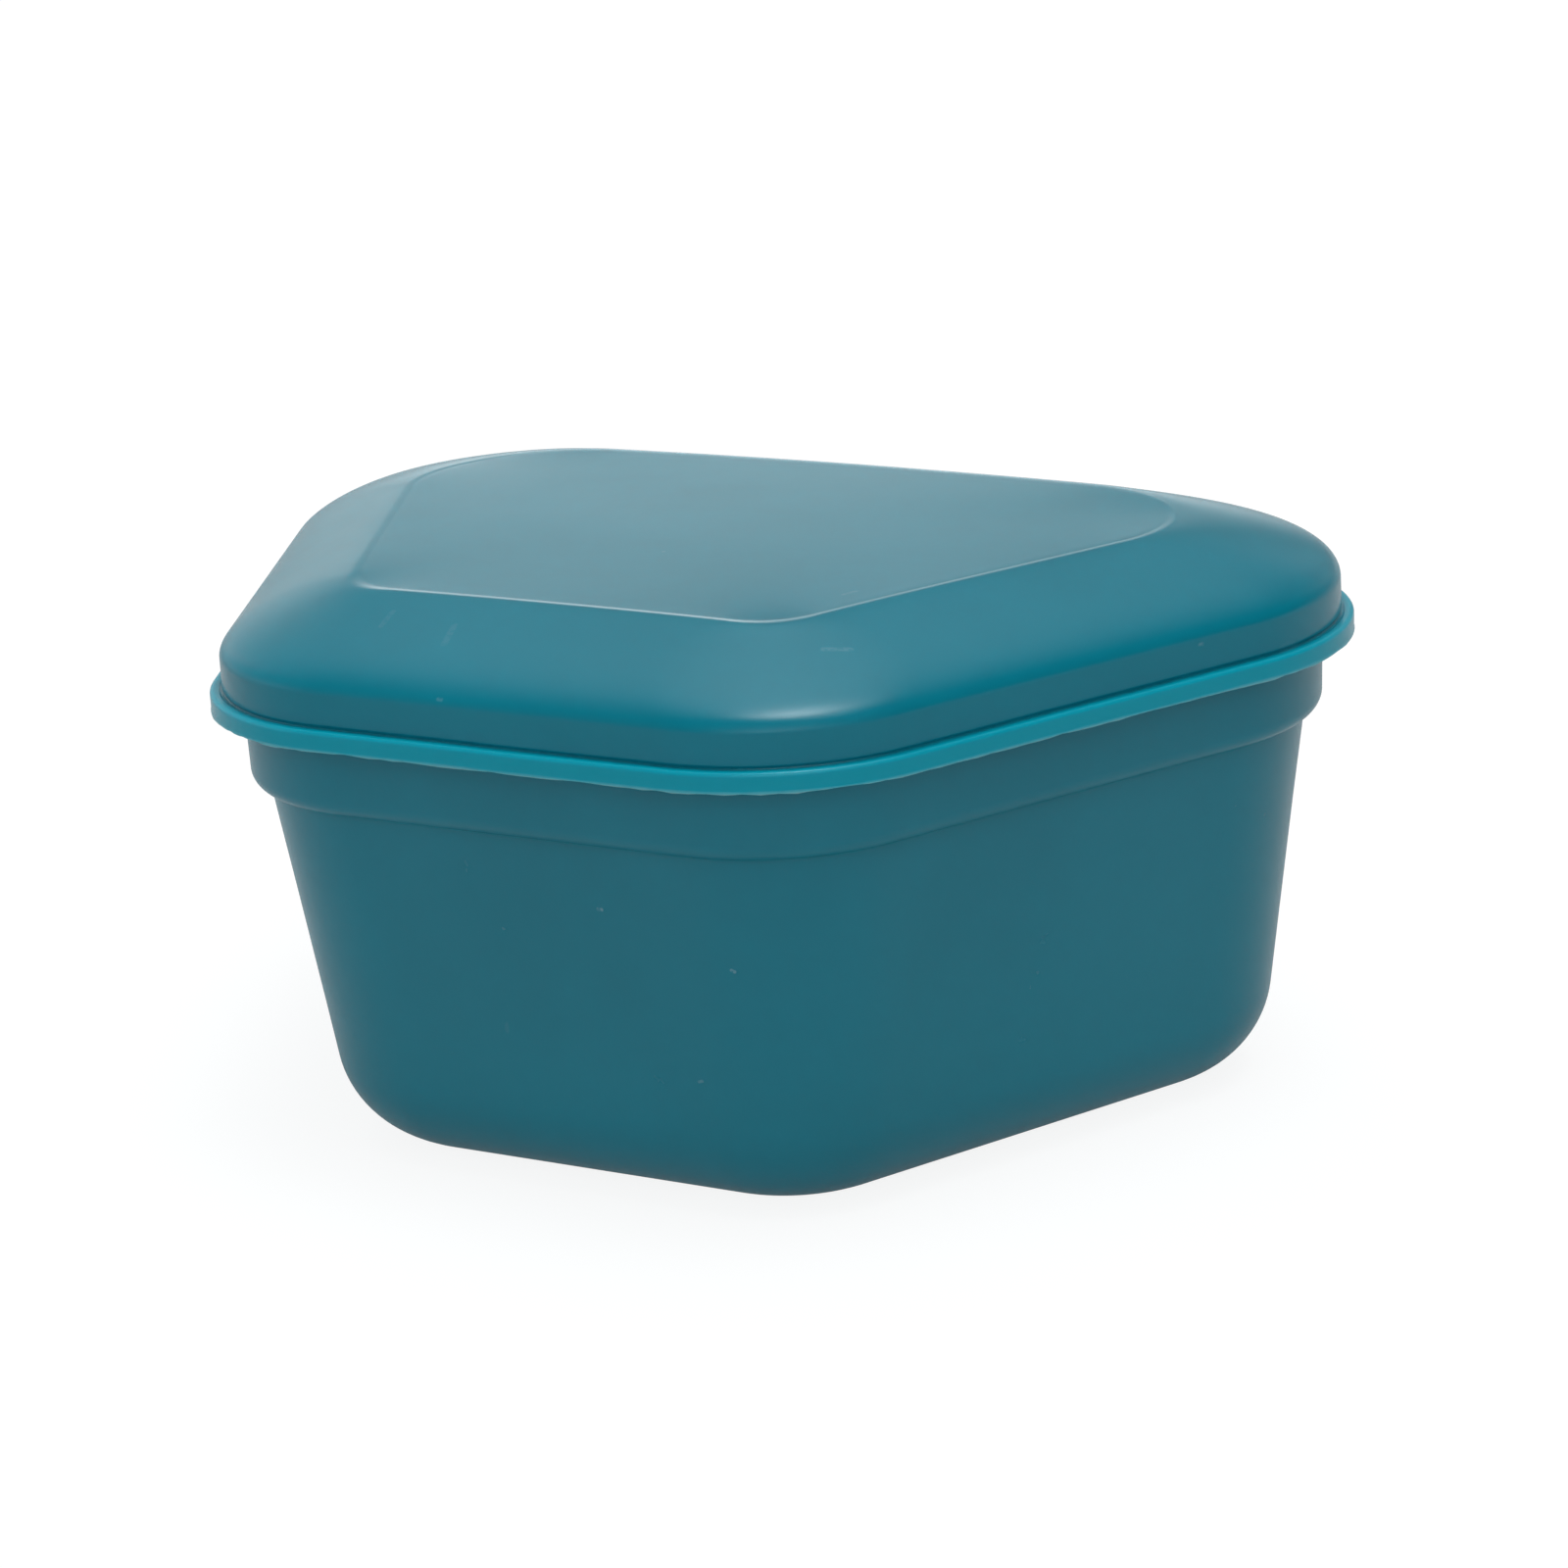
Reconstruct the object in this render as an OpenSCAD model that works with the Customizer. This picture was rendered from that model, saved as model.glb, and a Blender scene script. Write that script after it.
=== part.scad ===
// Denture case: a moulded tub with a rounded trapezoid plan, a domed press-on lid
// and a lift-out drain basket that hangs on the ledge inside the tub.
// Millimetres, +Z up. The origin is on the surface the case stands on, under the
// middle of its outline. The short front side faces -Y and the long back side +Y.
// Every shell is one closed skin of rounded trapezoid rings. A ring is given by its
// inset from the lip's outline, its height and its two corner radii.

/* [Outline] */
// Width of the short front side at the lip, between the corners where its straight lines would meet
front_w = 53; // [50:0.5:58]
// Depth of the outline at the lip, front to back
depth = 70; // [67:0.5:76]
// Angle by which each side runs outward from front to back, degrees
side_angle = 25.1; // [23:0.1:26]
// Plan radius of the two front corners at the lip
front_r = 17.8; // [17.5:0.1:19]
// Plan radius of the two back corners at the lip
back_r = 20.6; // [19:0.1:22]

/* [Tub] */
// Height of the crease where the tapered body meets the collar
collar_z = 30.6; // [28:0.1:32]
// Inset of the collar's face from the lip's outline
collar_in = 2.6; // [2.5:0.05:2.8]
// Inset of the body's top, under the collar, from the lip's outline
body_in = 4.15; // [4:0.05:4.4]
// Draft of the body's walls, degrees
draft = 8; // [5:0.5:9]
// Radius of the tub's bottom edge
foot_r = 8.5; // [7.5:0.1:9]
// Extra plan radius that the front corners gain towards the foot
foot_soft = 3.2; // [2.5:0.1:4]
// Wall thickness of the tub
tub_t = 1.6; // [1.4:0.1:1.7]
// Height of the tub's rim, inside the closed lid
rim_z = 41.5; // [40.5:0.1:41.6]
// Depth of the sunk panel under the tub's floor
sole_in = 0.5; // [0.3:0.05:0.7]

/* [Lid] */
// Height of the lip's lower edge
lip_z = 36.9; // [36.5:0.1:37.2]
// Height of the lip's outer face
lip_h = 1.55; // [1.4:0.05:1.7]
// Inset of the lid's upright wall from the lip's outline
wall_in = 1.06; // [1:0.01:1.15]
// Height at which the upright wall turns into the shoulder
wall_z = 41; // [40.8:0.05:41.2]
// Height of the crest around the top panel, the case's overall height
crest_z = 46.8; // [46.5:0.1:47.5]
// Inset of the crest from the lip's outline
crest_in = 11.45; // [11:0.05:12]
// Slope of the shoulder next to the crest, degrees
shoulder_slope = 19.6; // [18.2:0.2:21]
// Plan radius of the crest at the front corners
crest_front_r = 4.5; // [4:0.1:5]
// Plan radius of the crest at the back corners
crest_back_r = 11.8; // [10:0.1:13]
// Depth by which the top panel lies below the crest
panel_in = 0.3; // [0.2:0.05:0.4]
// Wall thickness of the lid
lid_t = 1.1; // [1:0.05:1.15]

/* [Drain basket] */
// Height of the basket's underside above the table
basket_z = 6.5; // [6:0.1:7]
// Wall thickness of the basket
basket_t = 1.2; // [1:0.1:1.3]
// Gap between the basket's wall and the tub's wall
basket_gap = 0.5; // [0.4:0.05:0.6]
// Radius of the basket's bottom edge
basket_r = 5; // [4.5:0.1:5.5]
// Diameter of the drain holes in the floor
hole_d = 4; // [3:0.1:4.4]
// Distance between neighbouring drain holes
hole_pitch = 7.2; // [6.5:0.1:9]
// Width of the drain slots in the walls
slot_w = 2.6; // [2:0.1:3]
// Distance between neighbouring drain slots
slot_pitch = 6.4; // [6:0.1:8]
// Height of the two lifting tabs above the basket's flange
tab_h = 6.6; // [5:0.1:7]

/* [Hidden] */

teal = [0.16, 0.41, 0.46];
teal_lid = [0.18, 0.46, 0.51];
teal_basket = [0.36, 0.62, 0.66];

// Steps along a front corner and a back corner of every ring
nf = 10;
nb = 14;
// Steps along the rounded edges in section, and along the shoulder
na = 6;
ns = 10;

// Half-plane form of the side line: cos(a) x - sin(a) y = side_h
side_h = cos(side_angle) * front_w / 2 + sin(side_angle) * depth / 2;

// Centres of the front and back corner arcs of a ring, right-hand side
function corner_y(d, r, s) = s * (depth / 2 - d - r);
function corner_x(d, r, s) =
    (side_h - d - r + sin(side_angle) * corner_y(d, r, s)) / cos(side_angle);

function arc_pts(cx, cy, r, a0, a1, n) =
    [for (i = [0:n]) let (t = a0 + (a1 - a0) * i / n) [cx + r * cos(t), cy + r * sin(t)]];

// One rounded trapezoid ring: inset d, height z, front radius rf, back radius rb
function ring(s) =
    let (d = s[0], z = s[1], rf = max(s[2], 0.4), rb = max(s[3], 0.4),
         f = arc_pts(corner_x(d, rf, -1), corner_y(d, rf, -1), rf, -90, -side_angle, nf),
         b = arc_pts(corner_x(d, rb, 1), corner_y(d, rb, 1), rb, -side_angle, 90, nb),
         half = concat(f, b), m = len(half))
    concat([for (p = half) [p[0], p[1], z]],
           [for (i = [m - 1:-1:0]) [-half[i][0], half[i][1], z]]);

// Closed skin through a list of stations: flat cap, bands of triangles, flat cap
module skin(stations) {
    n = 2 * (nf + nb + 2);
    k = len(stations);
    points = [for (s = stations) each ring(s)];
    bands = [for (j = [0:k - 2], i = [0:n - 1])
        let (a = j * n + i, b = j * n + (i + 1) % n, c = a + n, e = b + n)
        each [[a, c, e], [a, e, b]]];
    polyhedron(points, concat([[for (i = [0:n - 1]) i]], bands,
        [[for (i = [n - 1:-1:0]) (k - 1) * n + i]]), convexity = 10);
}

// ---- Corner radii -----------------------------------------------------------
// Tub and basket: parallel to the lip's outline, softer at the front foot corners
function tub_ring(p) = let (soft = foot_soft * max(0, 1 - p[1] / collar_z))
    [p[0], p[1], front_r - p[0] + soft, back_r - p[0]];

// Rib of the lid: parallel to the lip's outline
function plain_ring(p) = [p[0], p[1], front_r - p[0], back_r - p[0]];

// Lid: the corners tighten from the wall to the crest, the front ones mostly near the crest
function blend(a, b, w) = a * (1 - w) + b * w;
function lid_r(d, r0, rc, swell) =
    let (w = min(1, max(0, (d - wall_in) / (crest_in - wall_in))))
    d < wall_in ? r0 - d
    : blend(r0 - wall_in, rc, w) + swell * 4 * w * (1 - w) - max(0, d - crest_in);
front_swell = 5.9;
back_swell = -1.6;
function lid_ring(p) = [p[0], p[1], lid_r(p[0], front_r, crest_front_r, front_swell),
                        lid_r(p[0], back_r, crest_back_r, back_swell)];
function lid_in_ring(p) = let (q = max(wall_in, p[0] - lid_t), e = p[0] - q)
    [p[0], p[1], lid_r(q, front_r, crest_front_r, front_swell) - e,
     lid_r(q, back_r, crest_back_r, back_swell) - e];

// ---- Tub section ------------------------------------------------------------
// Centre of the bottom edge's arc, so that the drafted wall is tangent to it
foot_c = body_in + (foot_r + sin(draft) * (collar_z - foot_r)) / cos(draft);
// Inset of a drafted wall that lies k from the arc's centre, at height z
function wall_d(k, z) = foot_c - (k + sin(draft) * (z - foot_r)) / cos(draft);
ledge_z = collar_z + 1.5;
inner_r = foot_r - tub_t;
rim_in = collar_in + 1.5;
collar_rr = 1.4;

tub_section = concat(
    [[foot_c + 3.6, sole_in], [foot_c + 3.1, 0]],
    arc_pts(foot_c, foot_r, foot_r, 270, 180 + draft, na),
    [[body_in, collar_z]],
    // Rounded underside of the collar, then its face
    arc_pts(collar_in + 0.13 + collar_rr, collar_z + 0.04 + collar_rr, collar_rr, 265, 180, 4),
    // Face of the collar, the snap bead hidden behind the lip, and the rim
    [[collar_in, lip_z - 0.2], [collar_in - 0.3, lip_z + 0.2], [collar_in - 0.55, lip_z + 0.45],
     [collar_in - 0.55, lip_z + 0.85], [collar_in - 0.3, lip_z + 1.1], [collar_in, lip_z + 1.3]],
    arc_pts(collar_in + 0.7, rim_z - 0.7, 0.7, 180, 90, 3),
    arc_pts(rim_in - 0.5, rim_z - 0.5, 0.5, 90, 0, 3),
    [[rim_in, ledge_z + 0.4], [rim_in + 0.12, ledge_z + 0.12], [rim_in + 0.4, ledge_z],
     [wall_d(inner_r, ledge_z) - 0.25, ledge_z], [wall_d(inner_r, ledge_z - 0.3), ledge_z - 0.3]],
    arc_pts(foot_c, foot_r, inner_r, 180 + draft, 270, na));

module base() {
    color(teal) skin([for (p = tub_section) tub_ring(p)]);
}

// ---- Lid section ------------------------------------------------------------
// Shoulder from the crest (t = 0) down to the top of the upright wall (t = 1)
c0 = [crest_in, crest_z];
c1 = c0 - 7.2 * [cos(shoulder_slope), sin(shoulder_slope)];
c3 = [wall_in, wall_z];
c2 = c3 + [0, 1.9];
function bez(t) = pow(1 - t, 3) * c0 + 3 * pow(1 - t, 2) * t * c1
    + 3 * (1 - t) * t * t * c2 + pow(t, 3) * c3;
function dbez(t) = 3 * pow(1 - t, 2) * (c1 - c0) + 6 * (1 - t) * t * (c2 - c1)
    + 3 * t * t * (c3 - c2);
function inset_bez(t) = let (v = dbez(t), l = norm(v)) bez(t) + lid_t * [-v[1], v[0]] / l;

shoulder = [for (i = [0:ns]) bez(i / ns)];
under = [for (i = [0:ns]) inset_bez(i / ns)];
under_z = [for (i = [ns:-1:0]) under[i]];
// Rib that dips inside the tub's rim and centres the lid on it
rib_a = rim_in + 0.45;
rib_b = rib_a + 1;
rib_z = 38.8;
panel_z = crest_z - panel_in;

// Underside of the lid, from its ceiling outward to the rib, and beyond the rib
ceiling = concat([[crest_in + 1.7, panel_z - lid_t - 0.1]],
                 [for (p = under) if (p[0] > rib_b + 0.1) p]);
rib = [[rib_b, lookup(rib_b, under_z)], [rib_b, rib_z], [rib_a, rib_z],
       [rib_a, lookup(rib_a, under_z)]];
channel = concat(
    [for (p = under) if (p[0] < rib_a - 0.1 && p[0] > wall_in + lid_t + 0.05) p],
    [[wall_in + lid_t, wall_z - 0.3], [wall_in + lid_t, lip_z + 1.75],
     [collar_in - 0.85, lip_z + 1.4],
     [collar_in - 0.85, lip_z]]);

lid_outside = concat(
    [[0.15, lip_z], [0, lip_z + 0.15], [0, lip_z + lip_h - 0.4], [0.12, lip_z + lip_h - 0.12],
     [0.4, lip_z + lip_h], [0.9, lip_z + lip_h - 0.05], [wall_in - 0.05, lip_z + lip_h + 0.1],
     [wall_in, lip_z + lip_h + 0.4]],
    [for (i = [ns:-1:0]) shoulder[i]],
    // Soft step from the crest down to the sunk top panel
    [for (i = [1:4]) let (u = i / 4)
        [crest_in + 1.2 * u, crest_z - panel_in * u * u * (3 - 2 * u)]]);

module lid() {
    color(teal_lid) skin(concat([for (p = ceiling) lid_in_ring(p)],
                                [for (p = rib) plain_ring(p)],
                                [for (p = channel) lid_in_ring(p)],
                                [for (p = lid_outside) lid_ring(p)]));
}

// ---- Drain basket -----------------------------------------------------------
flange_z = ledge_z + 0.05;
basket_k = inner_r - basket_gap;
basket_cz = basket_z + basket_r;
basket_c = foot_c + (basket_r - basket_k - sin(draft) * (basket_cz - foot_r)) / cos(draft);

basket_section = concat(
    arc_pts(basket_c, basket_cz, basket_r, 270, 180 + draft, na),
    [[wall_d(basket_k, flange_z), flange_z], [rim_in + 0.45, flange_z],
     [rim_in + 0.3, flange_z + 0.2], [rim_in + 0.3, flange_z + 0.9],
     [rim_in + 0.5, flange_z + 1.15], [wall_d(basket_k - basket_t, flange_z) - 0.3, flange_z + 1.15],
     [wall_d(basket_k - basket_t, flange_z), flange_z + 0.8]],
    arc_pts(basket_c, basket_cz, basket_r - basket_t, 180 + draft, 270, na));

// A point of the floor that lies at least k inside the outline
function inside(x, y, k) = abs(y) <= depth / 2 - k
    && cos(side_angle) * abs(x) - sin(side_angle) * y <= side_h - k;

// Upright slot with round ends, cut through a wall that faces +X here
module slot(h) {
    rotate([90, 0, 90]) linear_extrude(16) union() {
        translate([-slot_w / 2, slot_w / 2]) square([slot_w, h - slot_w]);
        translate([0, slot_w / 2]) circle(d = slot_w, $fn = 20);
        translate([0, h - slot_w / 2]) circle(d = slot_w, $fn = 20);
    }
}

// Row of n slots in the wall whose outward direction is a, at distance h from the origin
module slot_row(a, h, mid, n) {
    rotate([0, 0, a]) for (i = [0:n - 1])
        translate([h - 16, mid + (i - (n - 1) / 2) * slot_pitch, 15]) slot(12);
}

// Upright lifting tab, standing on the basket's side wall
module tab() {
    y = -4;
    k = wall_d(basket_k, flange_z) + 0.1;
    translate([(side_h - k + sin(side_angle) * y) / cos(side_angle), y, flange_z - 2.6])
        rotate([0, 0, -side_angle]) translate([-basket_t, 0, 0])
            rotate([90, 0, 90]) linear_extrude(basket_t) union() {
                translate([-8, 0]) square([16, 2.6 + tab_h - 4]);
                translate([-4, 0]) square([8, 2.6 + tab_h]);
                for (s = [-1, 1]) translate([s * 4, 2.6 + tab_h - 4]) circle(r = 4, $fn = 32);
            }
}

module strainer() {
    rows = 4;
    dy = hole_pitch * sin(60);
    color(teal_basket) {
        difference() {
            skin([for (p = basket_section) tub_ring(p)]);
            for (j = [-rows:rows], i = [-8:8])
                let (x = (i + (abs(j) % 2) / 2) * hole_pitch, y = j * dy)
                if (inside(x, y, basket_c + hole_d / 2 + 0.6))
                    translate([x, y, basket_z - 1]) cylinder(d = hole_d, h = basket_t + 2, $fn = 24);
            slot_row(-90, depth / 2 - body_in, 0, 4);
            slot_row(90, depth / 2 - body_in, 0, 7);
            slot_row(-side_angle, side_h - body_in, -6.5, 5);
            slot_row(180 + side_angle, side_h - body_in, 6.5, 5);
        }
        tab();
        mirror([1, 0, 0]) tab();
    }
}

base();
strainer();
lid();
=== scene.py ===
"""Denture case: moulded tub, lift-out drain basket and domed press-on lid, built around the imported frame.

Lengths in this file are millimetres until a mesh is made; meshes and lights are in metres.
"""
import math

import bpy
import bmesh
import numpy as np
from mathutils import Matrix, Vector, noise


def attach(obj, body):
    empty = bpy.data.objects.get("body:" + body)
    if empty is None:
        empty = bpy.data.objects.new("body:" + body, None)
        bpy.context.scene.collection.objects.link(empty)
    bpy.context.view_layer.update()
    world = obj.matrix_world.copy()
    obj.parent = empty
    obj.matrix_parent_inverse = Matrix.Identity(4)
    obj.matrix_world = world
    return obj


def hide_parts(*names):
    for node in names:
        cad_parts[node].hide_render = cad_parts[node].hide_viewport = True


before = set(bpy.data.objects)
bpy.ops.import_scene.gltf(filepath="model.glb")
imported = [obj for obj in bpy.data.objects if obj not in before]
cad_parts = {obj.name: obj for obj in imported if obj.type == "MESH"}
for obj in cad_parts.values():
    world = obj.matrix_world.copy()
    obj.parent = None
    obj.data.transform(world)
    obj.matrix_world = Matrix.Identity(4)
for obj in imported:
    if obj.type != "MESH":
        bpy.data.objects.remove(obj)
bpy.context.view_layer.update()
MM = 0.001
scene = bpy.context.scene

# ----------------------------------------------------------------------------
# Outline: a rounded trapezoid given by its inset from the lip's outline
# ----------------------------------------------------------------------------
FRONT_W, DEPTH, ANGLE = 53.0, 70.0, math.radians(25.1)
FRONT_R, BACK_R = 17.8, 20.6
CA, SA = math.cos(ANGLE), math.sin(ANGLE)
SIDE_H = CA * FRONT_W / 2 + SA * DEPTH / 2

# Points along each stretch of a ring, counted on one half
N_FRONT, N_FARC, N_SIDE, N_BARC, N_BACK = 14, 30, 30, 42, 22


def outline(d, rf, rb):
    """Points (x, y) of one ring, counter-clockwise from the middle of the front side."""
    rf, rb = max(rf, 0.35), max(rb, 0.35)
    yf, yb = -DEPTH / 2 + d + rf, DEPTH / 2 - d - rb
    xf = (SIDE_H - d - rf + SA * yf) / CA
    xb = (SIDE_H - d - rb + SA * yb) / CA
    pts = [(xf * i / N_FRONT, yf - rf) for i in range(N_FRONT)]
    for i in range(N_FARC):
        t = -math.pi / 2 + (math.pi / 2 - ANGLE) * i / N_FARC
        pts.append((xf + rf * math.cos(t), yf + rf * math.sin(t)))
    a = (xf + rf * CA, yf - rf * SA)
    b = (xb + rb * CA, yb - rb * SA)
    for i in range(N_SIDE):
        u = i / N_SIDE
        pts.append((a[0] + (b[0] - a[0]) * u, a[1] + (b[1] - a[1]) * u))
    for i in range(N_BARC):
        t = -ANGLE + (math.pi / 2 + ANGLE) * i / N_BARC
        pts.append((xb + rb * math.cos(t), yb + rb * math.sin(t)))
    for i in range(N_BACK):
        pts.append((xb * (1 - i / N_BACK), yb + rb))
    pts.append((0.0, yb + rb))
    half = np.array(pts)
    other = half[-2:0:-1].copy()
    other[:, 0] *= -1
    return np.concatenate([half, other])


RING_N = len(outline(0, FRONT_R, BACK_R))
_o = outline(0, FRONT_R, BACK_R)
_seg = np.linalg.norm(np.roll(_o, -1, 0) - _o, axis=1)
PERIMETER = _seg.sum()
ARC = np.concatenate([[0], np.cumsum(_seg)[:-1]])  # distance along the lip at each ring point


# ----------------------------------------------------------------------------
# Sections: polylines (inset, height, fillet radius) turned into smooth rows
# ----------------------------------------------------------------------------
def arc_pts(cx, cz, r, a0, a1, n):
    return [(cx + r * math.cos(math.radians(a0 + (a1 - a0) * i / n)),
             cz + r * math.sin(math.radians(a0 + (a1 - a0) * i / n))) for i in range(n + 1)]


def rounded(corners, step=1.6, edge=0.12):
    """Corner list [(d, z, r)] to a dense row of points with the corners filleted."""
    out = []
    n = len(corners)
    for i, c in enumerate(corners):
        p = np.array(c[:2], float)
        r = c[2] if len(c) > 2 else 0.0
        if r <= 0 or i in (0, n - 1):
            out.append([p])
            continue
        a = np.array(corners[i - 1][:2], float) - p
        b = np.array(corners[i + 1][:2], float) - p
        la, lb = np.linalg.norm(a), np.linalg.norm(b)
        a, b = a / la, b / lb
        turn = math.pi - math.acos(max(-1, min(1, float(a @ b))))
        if turn < math.radians(4):
            out.append([p])
            continue
        t = min(r * math.tan(turn / 2), 0.46 * la, 0.46 * lb)
        r = t / math.tan(turn / 2)
        bis = (a + b) / np.linalg.norm(a + b)
        centre = p + bis * r / math.cos(turn / 2)
        s, e = p + a * t - centre, p + b * t - centre
        k = max(4, int(math.degrees(turn) / 11))
        ang = math.atan2(s[0] * e[1] - s[1] * e[0], float(s @ e))
        out.append([centre + np.array([s[0] * math.cos(ang * j / k) - s[1] * math.sin(ang * j / k),
                                       s[0] * math.sin(ang * j / k) + s[1] * math.cos(ang * j / k)])
                    for j in range(k + 1)])
    row = []
    for i, group in enumerate(out):
        if row:
            a, b = row[-1], group[0]
            l = float(np.linalg.norm(b - a))
            us = []
            if l > 4 * edge:
                inner = max(1, int(round((l - 2 * edge) / step)))
                us = [edge / l + (1 - 2 * edge / l) * j / inner for j in range(inner + 1)]
            row += [a + (b - a) * u for u in us]
        row += group
    keep = [row[0]]
    for p in row[1:]:
        if np.linalg.norm(p - keep[-1]) > 1e-4:
            keep.append(p)
    return keep


def plain_r(d, z):
    return FRONT_R - d, BACK_R - d


# ----------------------------------------------------------------------------
# Shell maker
# ----------------------------------------------------------------------------
def shell(name, rows, radii, first_cap, last_cap, tweak=None, wear=None, painted_glow=None, dull=None):
    """Closed skin through the rows [(d, z)]. Caps are 'dome' grids of shrinking rings.

    radii(d, z, index) gives a ring's two corner radii, tweak(P, index, d, z) moves its
    points, wear(index, d, z) gives the paint values of a row, or of its every point, and
    the next argument, called the same way, its painted glow: how much brighter its colour is
    painted where light would come through. dull lists how much of its sheen each row has lost.
    """
    rings, paint, glow = [], [], []
    for k, (d, z) in enumerate(rows):
        rf, rb = radii(d, z, k)
        xy = outline(d, rf, rb)
        P = np.column_stack([xy, np.full(RING_N, z)])
        if tweak is not None:
            P = tweak(P, k, d, z)
        rings.append(P)
        w = wear(k, d, z) if wear is not None else 0.0
        paint.append(np.broadcast_to(np.asarray(w, float), (RING_N,)))
        glow.append(np.full(RING_N, painted_glow(k, d, z) if painted_glow is not None else 0.0))
    verts = np.concatenate(rings)
    paint = np.concatenate(paint)
    faces = []
    for k in range(len(rows) - 1):
        a = k * RING_N
        for i in range(RING_N):
            j = (i + 1) % RING_N
            faces.append((a + i, a + j, a + RING_N + j, a + RING_N + i))
    extra, extra_paint = [], []
    count = len(verts)
    for which, spec in (("first", first_cap), ("last", last_cap)):
        ring_ix = list(range(RING_N)) if which == "first" else list(
            range((len(rows) - 1) * RING_N, len(rows) * RING_N))
        edge = verts[ring_ix]
        c = np.array([0.0, float(edge[:, 1].mean()), float(edge[0, 2])])
        prev = ring_ix
        for s in CAP:
            P = c + (edge - c) * s
            if spec is not None:
                P = spec(P, s)
            ix = list(range(count, count + RING_N))
            count += RING_N
            extra.append(P)
            extra_paint.append(np.zeros(RING_N))
            for i in range(RING_N):
                j = (i + 1) % RING_N
                q = (prev[i], prev[j], ix[j], ix[i])
                faces.append(q[::-1] if which == "first" else q)
            prev = ix
        P = c[None].copy()
        if spec is not None:
            P = spec(P, 0.0)
        extra.append(P)
        extra_paint.append(np.zeros(1))
        centre = count
        count += 1
        for i in range(RING_N):
            j = (i + 1) % RING_N
            q = (prev[i], prev[j], centre)
            faces.append(q[::-1] if which == "first" else q)
    verts = np.concatenate([verts] + extra) * MM
    paint = np.concatenate([paint] + extra_paint)
    me = bpy.data.meshes.new(name)
    me.from_pydata([tuple(v) for v in verts], [], faces)
    me.update()
    attr = me.attributes.new("wear", "FLOAT", "POINT")
    attr.data.foreach_set("value", paint.astype(np.float32))
    # Painted glow per point: how much brighter the colour is painted where light would come through the lip
    glow = np.concatenate(glow + [np.zeros(len(verts) - RING_N * len(rows))])
    attr = me.attributes.new("painted_glow", "FLOAT", "POINT")
    attr.data.foreach_set("value", glow.astype(np.float32))
    lost = np.zeros(len(verts))
    if dull is not None:
        lost[:RING_N * len(rows)] = np.repeat(dull, RING_N)
    attr = me.attributes.new("dull", "FLOAT", "POINT")
    attr.data.foreach_set("value", lost.astype(np.float32))
    me.polygons.foreach_set("use_smooth", [True] * len(me.polygons))
    ob = bpy.data.objects.new(name, me)
    scene.collection.objects.link(ob)
    bm = bmesh.new()
    bm.from_mesh(me)
    bmesh.ops.recalc_face_normals(bm, faces=bm.faces)
    bm.to_mesh(me)
    bm.free()
    return ob


CAP = (0.985, 0.95, 0.88, 0.78, 0.66, 0.53, 0.40, 0.27, 0.14)


def membrane(edge):
    """For each ring of a cap: the height of an evenly loaded skin held along the edge ring,
    0 to 1, and of an unloaded skin stretched over it."""
    c = np.array([0.0, float(edge[:, 1].mean())])
    xy = np.concatenate([c + (edge[:, :2] - c) * q for q in (1.0,) + CAP] + [c[None]])
    tris = []
    for k in range(len(CAP)):
        for i in range(RING_N):
            j = (i + 1) % RING_N
            a, b = k * RING_N + i, k * RING_N + j
            tris += [(a, b, b + RING_N), (a, b + RING_N, a + RING_N)]
    last = len(CAP) * RING_N
    tris += [(last + i, last + (i + 1) % RING_N, len(xy) - 1) for i in range(RING_N)]
    tris = np.array(tris)
    A, B, C = xy[tris[:, 0]], xy[tris[:, 1]], xy[tris[:, 2]]
    side = (C - B, A - C, B - A)
    area = np.abs((B - A)[:, 0] * (C - A)[:, 1] - (B - A)[:, 1] * (C - A)[:, 0]) / 2 + 1e-9
    K, load = np.zeros((len(xy), len(xy))), np.zeros(len(xy))
    for i in range(3):
        np.add.at(load, tris[:, i], area / 3)
        for j in range(3):
            np.add.at(K, (tris[:, i], tris[:, j]), (side[i] * side[j]).sum(1) / (4 * area))
    pull = -K[RING_N:, :RING_N] @ edge[:, 2]
    h = np.linalg.solve(K[RING_N:, RING_N:], np.column_stack([load[RING_N:], pull]))
    h[:, 0] /= h[:, 0].max()
    heights = {q: h[k * RING_N:(k + 1) * RING_N] for k, q in enumerate(CAP)}
    heights[0.0] = h[-1:]
    return heights


def wave(P, scale, seed):
    """Slow smooth noise along a set of points, about -1 to 1."""
    return np.array([noise.noise(Vector((p[0] / scale + seed, p[1] / scale - seed, p[2] / scale)))
                     for p in P])


# ----------------------------------------------------------------------------
# Lid
# ----------------------------------------------------------------------------
LIP_Z, LIP_H = 36.9, 1.55
WALL_IN, WALL_Z = 1.06, 41.0
CREST_Z, CREST_IN, CREST_RF, CREST_RB = 46.8, 11.45, 6.0, 11.8
SWELL_F, SWELL_B = 5.2, -1.6
SLOPE, PANEL_IN, PANEL_W, LID_T = math.radians(19.6), 0.10, 1.0, 1.1
RIM_IN = 4.1
RIB_A, RIB_B, RIB_Z = RIM_IN + 0.45, RIM_IN + 1.45, 38.8

_c0 = np.array([CREST_IN, CREST_Z])
_c1 = _c0 - 7.2 * np.array([math.cos(SLOPE), math.sin(SLOPE)])
_c3 = np.array([WALL_IN, WALL_Z])
_c2 = _c3 + np.array([0, 1.9])


def bez(t):
    return ((1 - t) ** 3 * _c0 + 3 * (1 - t) ** 2 * t * _c1 + 3 * (1 - t) * t * t * _c2 + t ** 3 * _c3)


def dbez(t):
    return 3 * (1 - t) ** 2 * (_c1 - _c0) + 6 * (1 - t) * t * (_c2 - _c1) + 3 * t * t * (_c3 - _c2)


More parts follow.
